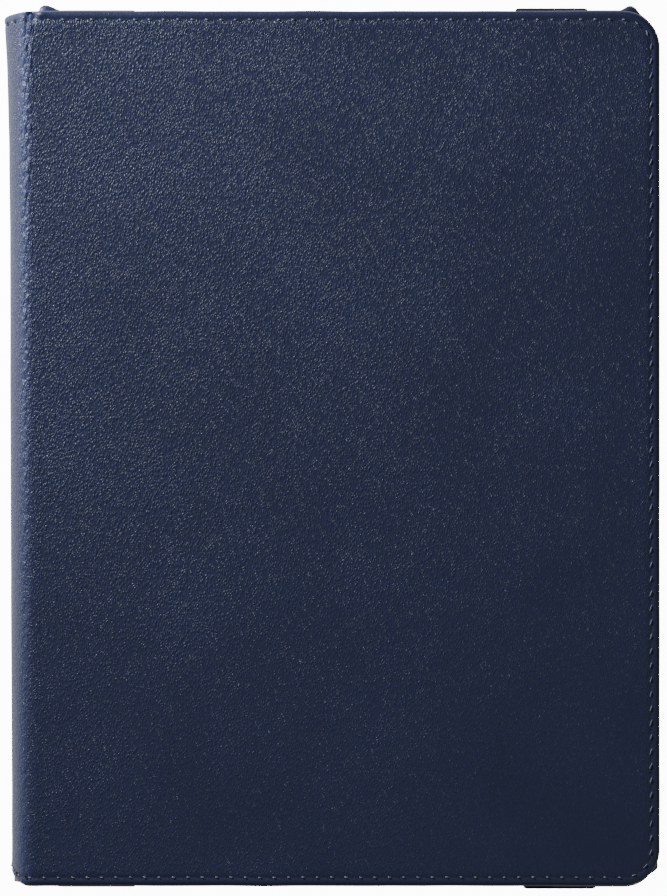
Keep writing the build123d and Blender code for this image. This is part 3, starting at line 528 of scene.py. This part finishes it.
        turns = 16
        found += [end_station(i, True) for i in range(last)]
        found += [corner_station(math.pi / 2 * k / turns, True) for k in range(turns)]
        found += [side_station(j) for j in range(self.rows, -1, -1)]
        found += [corner_station(math.pi / 2 * k / turns, False) for k in range(turns - 1, 0, -1)]
        found += [end_station(i, False) for i in range(last, -1, -1)]
        return found

    def build(self, name, material):
        points, faces = [], []

        def add(p):
            points.append(p)
            return len(points) - 1

        last = len(self.profile) - 1

        def sheet(h, is_outer):
            return [
                [add(self.on_profile(i, self.row_y(i, j), h, is_outer)) for j in range(self.rows + 1)]
                for i in range(last + 1)
            ]

        outer = sheet(0.0, True)
        inner = sheet(SKIN_INSIDE, False)
        for i in range(last):
            for j in range(self.rows):
                faces.append((outer[i][j], outer[i + 1][j], outer[i + 1][j + 1], outer[i][j + 1]))
                faces.append((inner[i][j], inner[i][j + 1], inner[i + 1][j + 1], inner[i + 1][j]))
        for j in range(self.rows):
            faces.append((outer[0][j], outer[0][j + 1], inner[0][j + 1], inner[0][j]))
        rings = []
        for point, thick in self.stations():
            ring = [add(point(d, h)) for d, h in OUTER_SECTION]
            ring += [add(point(d, -share * thick, False)) for d, share in TURNED_SECTION]
            ring += [add(point(0.97, SKIN_INSIDE, False)), add(point(CORNER, SKIN_INSIDE, False))]
            rings.append(ring)
        for a, b in zip(rings, rings[1:]):
            for k in range(len(a) - 1):
                faces.append((a[k], b[k], b[k + 1], a[k + 1]))
        faces.append(tuple(rings[0]))
        faces.append(tuple(reversed(rings[-1])))
        return mesh_object(name, points, faces, material)


def path_of(skin, inset, height):
    """The stitch line on a skin as points, tangents and outward normals, one every stitch."""
    line = [station[0](inset, height) for station in skin.stations()]
    lift = [station[0](inset, height + 0.5) for station in skin.stations()]
    kept = [(line[0], lift[0])]
    for p, q in zip(line[1:], lift[1:]):
        if (p - kept[-1][0]).length > 0.05:
            kept.append((p, q))
    total = sum((b[0] - a[0]).length for a, b in zip(kept, kept[1:]))
    count = round(total / STITCH_PITCH)
    pitch = total / count
    places, walked, target = [], 0.0, pitch / 2
    for (a, up_a), (b, up_b) in zip(kept, kept[1:]):
        step = (b - a).length
        while walked + step >= target and len(places) < count:
            t = (target - walked) / step
            up = (up_a - a).lerp(up_b - b, t).normalized()
            places.append((a.lerp(b, t), (b - a).normalized(), up))
            target += pitch
        walked += step
    return places, pitch


def stitches(name, skin, material, inset=END_TO_STITCH, height=-0.05, length=1.05, radius=0.22):
    """The short slanted length of each stitch that shows, beside its hole and longer along the free edge."""
    points, faces = [], []
    places, pitch = path_of(skin, inset, height)
    ring, steps = 7, 6
    for number, (centre, along, up) in enumerate(places):
        across = along.cross(up).normalized()
        jitter = noise.noise(Vector((number * 0.73, 2.0, 0.5)))
        slant = 0.30 + 0.15 * jitter
        direction = (along + across * slant).normalized()
        shown = length * (1.0 + 0.85 * abs(along.y) + 0.2 * jitter)
        centre = centre + along * (pitch / 2 - 1.05 - 0.3 * abs(along.y))
        sideways = direction.cross(up).normalized()
        start = len(points)
        for i in range(steps + 1):
            t = i / steps * 2 - 1
            rise = 0.20 * (1 - t * t) - 0.16 * t**4
            size = radius * (1 - 0.5 * abs(t) ** 3) * (1 + 0.12 * jitter)
            middle = centre + direction * (t * shown / 2) + up * rise
            points += [middle + sideways * (size * c) + up * (size * 0.8 * s) for c, s in ring_points(ring)]
        for i in range(steps):
            faces += band(start + i * ring, start + (i + 1) * ring, ring)
        faces += [cap(start, ring), cap(start + steps * ring, ring)]
    return mesh_object(name, points, faces, material, 0)


HOLE_SECTION = [(0.5, -0.25), (0.68, 0.045), (0.5, 0.06), (0.34, -0.02)]  # half length, height


def stitch_holes(name, skin, material, inset=END_TO_STITCH, height=-0.08):
    """The slanted needle holes between the threads, as small near-black dishes let into the leather, their darkness
    painted shade of the holes' depth.
    """
    points, faces = [], []
    places, pitch = path_of(skin, inset, height)
    ring = 12
    for number, (centre, along, up) in enumerate(places):
        across = along.cross(up).normalized()
        jitter = noise.noise(Vector((number * 0.61, 7.0, 1.5)))
        middle = centre + along * (pitch / 2 + 0.08 * jitter)
        direction = (along * 0.55 + across * 0.85).normalized()
        sideways = direction.cross(up).normalized()
        start = len(points)
        for half_length, rise in HOLE_SECTION:
            for c, s in ring_points(ring):
                flat = direction * (half_length * c) + sideways * (half_length * 0.62 * s)
                points.append(middle + flat + up * rise)
        for level in range(len(HOLE_SECTION) - 1):
            faces += band(start + level * ring, start + (level + 1) * ring, ring)
        faces += [cap(start, ring), cap(start + (len(HOLE_SECTION) - 1) * ring, ring)]
    return mesh_object(name, points, faces, material, 0)


def bend_over_fold(piece):
    """Bakes the piece's transform into its mesh; the piece keeps its rest shape."""
    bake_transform(piece)


def sew(shape, name):
    bend_over_fold(stitches(name + "_stitches", shape, thread_navy_painted_glint))
    bend_over_fold(stitch_holes(name + "_stitch_holes", shape, hole_painted_shade))


front_skin_shape = Skin(1)
back_skin_shape = Skin(-1)
front_skin = front_skin_shape.build("front_skin", leather_navy)
bend_over_fold(front_skin)
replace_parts(front_skin, "front_leather", "front_fold", "spine_leather")
sew(front_skin_shape, "front")
back_skin = back_skin_shape.build("back_skin", leather_navy)


def prism(name, outline, z_from, z_to):
    """A closed upright prism over an outline, in millimetres, used to cut a window."""
    count = len(outline)
    points = [(x, y, z_from) for x, y in outline] + [(x, y, z_to) for x, y in outline]
    faces = [tuple(reversed(range(count))), tuple(range(count, 2 * count))]
    faces += [(k, (k + 1) % count, count + (k + 1) % count, count + k) for k in range(count)]
    return mesh_object(name, points, faces, hole_painted_shade, 0)


def rounded_outline(x_from, x_to, y_from, y_to, left, right, steps=8):
    """A rectangle's outline with the left and right corners rounded by their own radius."""
    corners = [
        (x_to, y_to, right, 0), (x_from, y_to, left, 90), (x_from, y_from, left, 180), (x_to, y_from, right, 270),
    ]
    outline = []
    for x, y, radius, turn in corners:
        sx = 1 if x == x_to else -1
        sy = 1 if y == y_to else -1
        if radius <= 0:
            outline.append((x, y))
            continue
        for k in range(steps + 1):
            a = math.radians(turn + 90 * k / steps)
            outline.append((x - sx * radius + radius * math.cos(a), y - sy * radius + radius * math.sin(a)))
    return outline


def cut(piece, cutter):
    """Takes the cutter's shape out of the piece and removes the cutter."""
    modifier = piece.modifiers.new("cut", "BOOLEAN")
    modifier.object = cutter
    modifier.solver = "EXACT"
    bpy.context.view_layer.update()
    evaluated = piece.evaluated_get(bpy.context.evaluated_depsgraph_get())
    mesh = bpy.data.meshes.new_from_object(evaluated)
    piece.modifiers.clear()
    piece.data = mesh
    bpy.data.objects.remove(cutter)
    mesh.set_sharp_from_angle(angle=math.radians(40))


FLAP_GAP = 0.5
FLAP_CORNER = 8.5
HOLE_GAP = 0.05
PAST_LEATHER = 5.0  # of the cutters, above and below
flap_low, flap_high = box_mm("kickstand_leather")
_, crease_high = box_mm("kickstand_fold")
grommet_low, grommet_high = box_mm("camera_grommet")
grommet_middle = (grommet_low + grommet_high) / 2
lens_radius = (grommet_high.x - grommet_low.x) / 2 + HOLE_GAP
window = rounded_outline(
    flap_low.x - FLAP_GAP, crease_high.x + FLAP_GAP, flap_low.y - FLAP_GAP, flap_high.y + FLAP_GAP, FLAP_CORNER, 0
)
lens_hole = [(grommet_middle.x + lens_radius * c, grommet_middle.y + lens_radius * s) for c, s in ring_points(48)]
for cutter_name, outline in (("window_cutter", window), ("lens_cutter", lens_hole)):
    cut(back_skin, prism(cutter_name, outline, back_low.z - PAST_LEATHER, back_high.z + PAST_LEATHER))
bend_over_fold(back_skin)
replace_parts(back_skin, "back_leather", "back_fold")
sew(back_skin_shape, "back")


# ------------------------------------------------------------------ elastic strap, in two halves
STRAP_BEYOND_CAD = 0.6
STRAP_ASKEW = {1: -1.0, -1: 1.25}  # to the side at each end
STRAP_TURN = 1.5  # from the strap's outside to the middle of its turn under the cover


def strap_half(name, sign):
    """Half of the strap: up the end of the back cover and across the back to the middle, a little askew."""
    width = strap_high.x - strap_low.x
    middle = (strap_high.x + strap_low.x) / 2
    end_y = strap_high.y + STRAP_BEYOND_CAD
    thick = STRAP_THICKNESS
    turn = STRAP_TURN - thick / 2
    path = [(end_y - thick / 2, strap_high.z - 0.2), (end_y - thick / 2, 2.1)]
    for k in range(7):
        a = math.pi / 2 * k / 6
        path.append((end_y - STRAP_TURN + turn * math.cos(a), STRAP_TURN - turn * math.sin(a)))
    path = [(min(y, end_y - thick / 2), max(z, thick / 2)) for y, z in path]
    steps = 46
    start_y = path[-1][0]
    for k in range(1, steps + 1):
        y = start_y * (1 - k / steps)
        path.append((y, thick / 2 + 0.02 * math.sin(k * 1.7)))
    columns = 21
    points, faces = [], []
    for index, (y, z) in enumerate(path):
        before = path[max(0, index - 1)]
        after = path[min(len(path) - 1, index + 1)]
        dy, dz = after[0] - before[0], after[1] - before[1]
        size = math.hypot(dy, dz) or 1.0
        ny, nz = dz / size, -dy / size
        if index == 0:
            ny, nz = -1.0, 0.0
        if nz > 0 or (abs(nz) < 1e-6 and ny < 0):
            ny, nz = -ny, -nz
        shift = STRAP_ASKEW[sign] * abs(y) / end_y
        for side in (1, -1):
            for c in range(columns):
                t = c / (columns - 1) * 2 - 1
                edge = max(0.0, abs(t) - 0.86) / 0.14
                half = thick / 2 * (1 - 0.55 * edge**2) + 0.035 * math.cos(t * 22)
                x = middle + shift + t * (width / 2 + 0.10 * noise.noise(Vector((y / 6, t, 3.0))))
                points.append((x, sign * (y + side * ny * half), z + side * nz * half))
    per = 2 * columns
    for index in range(len(path) - 1):
        a, b = index * per, (index + 1) * per
        for c in range(columns - 1):
            faces.append((a + c, a + c + 1, b + c + 1, b + c))
            faces.append((a + columns + c, b + columns + c, b + columns + c + 1, a + columns + c + 1))
        faces.append((a, b, b + columns, a + columns))
        faces.append((a + columns - 1, a + per - 1, b + per - 1, b + columns - 1))
    for base in (0, (len(path) - 1) * per):
        for c in range(columns - 1):
            faces.append((base + c, base + columns + c, base + columns + c + 1, base + c + 1))
    piece = mesh_object(name, points, faces, strap_cloth)
    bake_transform(piece)
    return piece


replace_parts(strap_half("strap_top_half", 1), "elastic_strap")
strap_half("strap_bottom_half", -1)


# ------------------------------------------------------------------ leather wrapped over the tray's corners
WRAP_CORNER = 9.1  # outside radius of the leather where it turns the corner
LIP_END = LEATHER + TRAY_WALL + TRAY_LIP_REACH
WRAP_DRAWN_IN = 0.8  # behind the cover's edge, except at a nub or a tip
WRAP_CLEAR_OF_TRAY = 0.74  # the deepest that the outside may be drawn in
TIP_PLACE, TIP_SPREAD = 0.57, 0.035  # along the leather, as shares of its length
NUB_SPREAD = 2.3


def corner_line(leg_x, leg_y):
    """(x, y, normal x, normal y) along the outside of a corner's leather, from the end of one leg to the other."""
    steps, turns, r = 24, 16, WRAP_CORNER
    line = [(leg_x - (leg_x - r) * k / steps, 0.0, 0.0, 1.0) for k in range(steps + 1)]
    for k in range(1, turns):
        a = math.pi / 2 * k / turns
        line.append((r - r * math.sin(a), r - r * math.cos(a), math.sin(a), math.cos(a)))
    return line + [(0.0, r + (leg_y - r) * k / steps, 1.0, 0.0) for k in range(steps + 1)]


def wrap_section(bottom, top):
    """(inset from the outside, z) round a corner's leather: its outside, rolled top and lip."""
    return [
        (0.92, bottom + 0.02), (0.05, bottom + 0.02), (-0.02, bottom + 0.8), (0.0, (top + bottom) / 2),
        (0.0, top - 1.6), (0.07, top - 0.9), (0.30, top - 0.35), (0.75, top - 0.08), (1.3, top),
        (LIP_END - 1.2, top - 0.02), (LIP_END - 0.45, top - 0.1), (LIP_END - 0.1, top - 0.34),
        (LIP_END - 0.02, top - 0.7), (LIP_END - 0.02, top - 0.86), (0.94, top - 0.88),
    ]


def wrapped_corner(node, nub_place=None, nub_height=0.0, tip=0.0):
    """Leather over a corner of the tray, drawn in behind the cover, with a nub on its end leg or a tip on its turn."""
    low, high = box_mm(node)
    sx = 1 if low.x + high.x > 0 else -1
    sy = 1 if low.y + high.y > 0 else -1
    x_out = high.x if sx > 0 else low.x
    y_out = high.y if sy > 0 else low.y
    line = corner_line(high.x - low.x, high.y - low.y)
    section = wrap_section(low.z, high.z)
    points, faces = [], []
    for index, (inx, iny, nx, ny) in enumerate(line):
        along = index / (len(line) - 1)
        drawn_in = WRAP_DRAWN_IN * smoothstep(ny / 0.25)
        give_here = -drawn_in
        if nub_place is not None:
            nub = math.exp(-(((inx - nub_place) / NUB_SPREAD) ** 2)) * smoothstep(ny / 0.4)
            give_here += (nub_height + drawn_in) * nub
        if tip:
            give_here += (tip + drawn_in) * math.exp(-(((along - TIP_PLACE) / TIP_SPREAD) ** 2))
        for d, z in section:
            give = 0.0
            if z > low.z + 0.5 and d < 3:
                pucker = noise.noise(Vector((index / 3.0, z / 3.0, 1.0 + sx + 2 * sy)))
                give = give_here + 0.12 * pucker
            reach = d - give * (1 - min(1.0, d / 3.2))
            reach = min(reach, WRAP_CLEAR_OF_TRAY) if d < 0.91 else max(reach, d - 1.4)
            if 0 < nx < 1:
                px, py = WRAP_CORNER - (WRAP_CORNER - reach) * nx, WRAP_CORNER - (WRAP_CORNER - reach) * ny
            else:
                px, py = inx + reach * nx, iny + reach * ny
            points.append((x_out - sx * px, y_out - sy * py, z))
    count = len(section)
    for index in range(len(line) - 1):
        faces += band(index * count, (index + 1) * count, count)
    faces += [cap(0, count), cap((len(line) - 1) * count, count)]
    piece = mesh_object(node + "_leather", points, faces, leather_navy, 60)
    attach(piece, "back_cover")
    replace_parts(piece, node)


wrapped_corner("tray_corner_top_left", nub_place=4.5, nub_height=2.3)
wrapped_corner("tray_corner_top_right", nub_place=7.5, nub_height=0.8)
wrapped_corner("tray_corner_bottom_left")
wrapped_corner("tray_corner_bottom_right", tip=0.6)


# ------------------------------------------------------------------ padded palm rest
def palm_rest():
    """A foam panel under leather: crowned face, rolled edges and a sewn channel near its border."""
    low, high = box_mm("palm_rest_pad")
    mid_x, mid_y = (low.x + high.x) / 2, (low.y + high.y) / 2
    half_x, half_y = (high.x - low.x) / 2, (high.y - low.y) / 2
    depth = high.z - low.z
    # inset from the edge and share of the depth, with the sewn channel at 3.3 mm
    rings = [
        (0.2, 0.0), (0.0, 0.25), (0.0, 0.55), (0.12, 0.76), (0.45, 0.9), (1.0, 0.97), (1.8, 0.99), (2.5, 0.96),
        (3.0, 0.885), (3.3, 0.87), (3.6, 0.885), (4.2, 0.95), (5.2, 0.985), (7.5, 1.0), (11.0, 1.0), (15.5, 1.0),
    ]
    turns, points, faces = 10, [], []

    def outline(inset):
        hx, hy = half_x - inset, half_y - inset
        r = max(0.4, 6.0 - inset * 0.75)
        found = []
        for sx, sy, turn in ((1, 1, 0), (-1, 1, 90), (-1, -1, 180), (1, -1, 270)):
            for k in range(turns + 1):
                a = math.radians(turn + 90 * k / turns)
                found.append((mid_x + sx * (hx - r) + r * math.cos(a), mid_y + sy * (hy - r) + r * math.sin(a)))
            x0, y0 = found[-1]
            if turn in (0, 180):
                x1 = mid_x - sx * (hx - r)
                found += [(x0 + (x1 - x0) * k / 10, y0) for k in range(1, 10)]
            else:
                y1 = mid_y - sy * (hy - r)
                found += [(x0, y0 + (y1 - y0) * k / 50) for k in range(1, 50)]
        return found

    loops = []
    for inset, share in rings:
        loop = []
        for x, y in outline(inset):
            swell = noise.noise(Vector((x / 12, y / 12, 2.0))) if share > 0.5 else 0.0
            loop.append(len(points))
            points.append((x, y, high.z - depth * share + 0.05 * max(0.0, swell)))
        loops.append(loop)
    for a, b in zip(loops, loops[1:]):
        faces += band(a[0], b[0], len(a))
    faces += [tuple(loops[0]), tuple(loops[-1])]
    piece = mesh_object("palm_rest", points, faces, leather_navy, 60)
    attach(piece, "front_cover")
    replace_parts(piece, "palm_rest_pad")


palm_rest()


# ------------------------------------------------------------------ rubber domes under the keys
MEMBRANE = 0.4
DOME_RADIUS = 2.2
KEY_NODES = [
    "keys_function_row", "keys_number_row", "key_backspace", "key_tab", "keys_upper_row", "key_caps_lock",
    "keys_home_row", "key_enter", "key_left_shift", "keys_lower_row", "key_right_shift", "keys_bottom_row",
    "key_space",
]
DOME_SECTION = [(1.0, 0.0), (0.93, 0.12), (0.72, 0.5), (0.56, 0.86), (0.5, 0.97), (0.42, 1.0)]  # radius, height


def solid_centres(node):
    """The middle, in plan, of each separate solid of a CAD node, in millimetres."""
    mesh = nodes[node].data
    spots = [tuple(round(c, 6) for c in v.co) for v in mesh.vertices]
    group = {spot: spot for spot in spots}

    def root(spot):
        while group[spot] != spot:
            group[spot] = group[group[spot]]
            spot = group[spot]
        return spot

    for polygon in mesh.polygons:
        first = root(spots[polygon.vertices[0]])
        for v in polygon.vertices[1:]:
            group[root(spots[v])] = first
            first = root(first)
    solids = {}
    for spot in group:
        solids.setdefault(root(spot), []).append(spot)
    centres = []
    for solid in solids.values():
        xs, ys = [p[0] for p in solid], [p[1] for p in solid]
        centres.append(((min(xs) + max(xs)) / 2 / MM, (min(ys) + max(ys)) / 2 / MM))
    return sorted(centres)


def key_domes(material):
    """The rubber sheet behind the keys and, for each key, its domes, built in their rest shape."""
    low, high = box_mm("key_domes")
    base = high.z - MEMBRANE
    corners = [(low.x, low.y), (high.x, low.y), (high.x, high.y), (low.x, high.y)]
    points = [(x, y, z) for z in (base, high.z) for x, y in corners]
    faces = [(3, 2, 1, 0), (4, 5, 6, 7)] + [(k, (k + 1) % 4, 4 + (k + 1) % 4, 4 + k) for k in range(4)]
    sheet = mesh_object("dome_sheet", points, faces, material, 30)
    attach(sheet, "front_cover")
    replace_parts(sheet, "key_domes")
    around = 20
    height = base - low.z
    for node in KEY_NODES:
        points, faces = [], []
        for x, y in solid_centres(node):
            start = len(points)
            for share, rise in DOME_SECTION:
                r, z = DOME_RADIUS * share, base - height * rise
                points += [(x + r * c, y + r * s, z) for c, s in ring_points(around)]
            for ring in range(len(DOME_SECTION) - 1):
                faces += band(start + ring * around, start + (ring + 1) * around, around)
            faces += [cap(start, around), cap(start + (len(DOME_SECTION) - 1) * around, around)]
        domes = mesh_object(node + "_domes", points, faces, material, 40)
        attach(domes, "front_cover")
        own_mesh(domes)


silicone = plastic("dome_silicone", (0.55, 0.57, 0.60), 0.45, 0.3, 0.1)
key_domes(silicone)


# ------------------------------------------------------------------ finishes of the CAD nodes
board = cloth("board_pressed", (0.16, 0.12, 0.08), 0.5, 0.9, 0.0, 0.25)
shell_black = plastic("keyboard_shell", (0.018, 0.018, 0.020), 0.48, 0.2, 0.3)
tray_black = plastic("tray_black", (0.014, 0.014, 0.016), 0.42, 0.3, 0.15)
cap_black = plastic("keycap", (0.012, 0.012, 0.013), 0.38, 0.15, 0.2)
rubber = plastic("rubber_black", (0.012, 0.012, 0.013), 0.8, 0.2, 0.25)
steel = plastic("steel", (0.55, 0.55, 0.57), 0.32, 0.15, 0.1, 1.0)
dark_steel = plastic("steel_dark", (0.09, 0.09, 0.10), 0.38, 0.15, 0.1, 1.0)
foil = plastic("battery_foil", (0.62, 0.63, 0.66), 0.36, 0.8, 0.35, 0.9)
solder_green = plastic("circuit_green", (0.01, 0.07, 0.03), 0.35, 0.6, 0.1)
lens_white = plastic("light_lens", (0.5, 0.55, 0.58), 0.2, 0.5, 0.05)

FINISHES = {
    board: ["back_board", "front_board", "spine_board", "kickstand_board"],
    lining_cloth: ["back_lining", "front_lining", "spine_lining", "kickstand_lining"],
    felt: ["tray_liner"],
    strap_cloth: ["elastic_strap", "strap_tabs", "kickstand_pull_tab"],
    leather_navy: [
        "back_leather", "front_leather", "spine_leather", "back_fold", "front_fold", "kickstand_leather",
        "kickstand_fold", "palm_rest_pad", "tray_corner_top_left", "tray_corner_top_right",
        "tray_corner_bottom_left", "tray_corner_bottom_right",
    ],
    tray_black: ["tray_plate", "tray_rails", "tray_corner_walls", "tray_corner_lips", "camera_grommet"],
    steel: ["kickstand_magnets", "wake_magnets", "kickstand_keepers", "charge_socket"],
    dark_steel: ["keyboard_screws"],
    shell_black: ["keyboard_deck", "keyboard_base"],
    solder_green: ["circuit_board"],
    foil: ["battery"],
    lens_white: ["status_lights"],
    rubber: ["deck_bumpers"],
    silicone: ["key_domes"],
    cap_black: ["power_switch", "pair_button", *KEY_NODES],
}
for material, names in FINISHES.items():
    for name in names:
        mesh = nodes[name].data
        mesh.materials.clear()
        mesh.materials.append(material)


# ------------------------------------------------------------------ floor, lights and camera
FLOOR_GLOW = 0.3  # seen by the case
FLOOR_WHITE = 12.0  # seen straight on, for a white background
FLOOR_HALF = 3.0
FLOOR_BELOW = 0.0002


def floor():
    """A plain white floor just under the case, which lights it much less than it looks."""
    s = Shader("floor_white")
    s.bsdf.inputs["Base Color"].default_value = (0.93, 0.93, 0.93, 1)
    s.bsdf.inputs["Roughness"].default_value = 0.9
    s.bsdf.inputs["Emission Color"].default_value = (1, 1, 1, 1)
    ray = s.node("LightPath")
    glow = s.span(ray.outputs["Is Camera Ray"], 0, 1, FLOOR_GLOW, FLOOR_WHITE)
    s.put(s.bsdf.inputs["Emission Strength"], glow)
    mesh = bpy.data.meshes.new("floor")
    z = cad_low[2] - FLOOR_BELOW
    corners = [(sx * FLOOR_HALF, sy * FLOOR_HALF, z) for sx, sy in ((-1, -1), (1, -1), (1, 1), (-1, 1))]
    mesh.from_pydata(corners, [], [(0, 1, 2, 3)])
    mesh.materials.append(s.material)
    ground = bpy.data.objects.new("floor", mesh)
    bpy.context.scene.collection.objects.link(ground)


def area_light(name, place, target, size, power, color):
    """A rectangular lamp aimed at a point."""
    data = bpy.data.lights.new(name, "AREA")
    data.shape = "RECTANGLE"
    data.size, data.size_y = size
    data.energy = power
    data.color = color
    lamp = bpy.data.objects.new(name, data)
    lamp.location = place
    lamp.rotation_euler = (Vector(target) - Vector(place)).to_track_quat("-Z", "Y").to_euler()
    bpy.context.scene.collection.objects.link(lamp)


floor()
world = bpy.data.worlds.new("studio")
world.use_nodes = True
sky = world.node_tree.nodes["Background"]
sky.inputs["Color"].default_value = (0.78, 0.88, 1.0, 1)
sky.inputs["Strength"].default_value = 0.13
bpy.context.scene.world = world
area_light("key", (-0.46, 0.40, 0.26), (-0.05, 0.06, 0), (0.22, 0.16), 9.2, (0.93, 0.97, 1.0))
area_light("fill", (0.6, -0.5, 1.0), (0, 0, 0), (1.0, 1.0), 1.5, (0.88, 0.94, 1.0))

PIXEL_ROWS = 896
PIXEL_SIZE = 0.2779 * MM  # at the front cover's face
FRAME_HEIGHT = PIXEL_ROWS * PIXEL_SIZE
DISTANCE = 2.6
SENSOR = 24.0
camera_data = bpy.data.cameras.new("camera")
camera_data.sensor_fit = "VERTICAL"
camera_data.sensor_height = SENSOR
camera_data.lens = SENSOR * DISTANCE / FRAME_HEIGHT
camera = bpy.data.objects.new("camera", camera_data)
camera.location = (-0.00036, 0.00014, front_high.z * MM + DISTANCE)
bpy.context.scene.collection.objects.link(camera)
bpy.context.scene.camera = camera
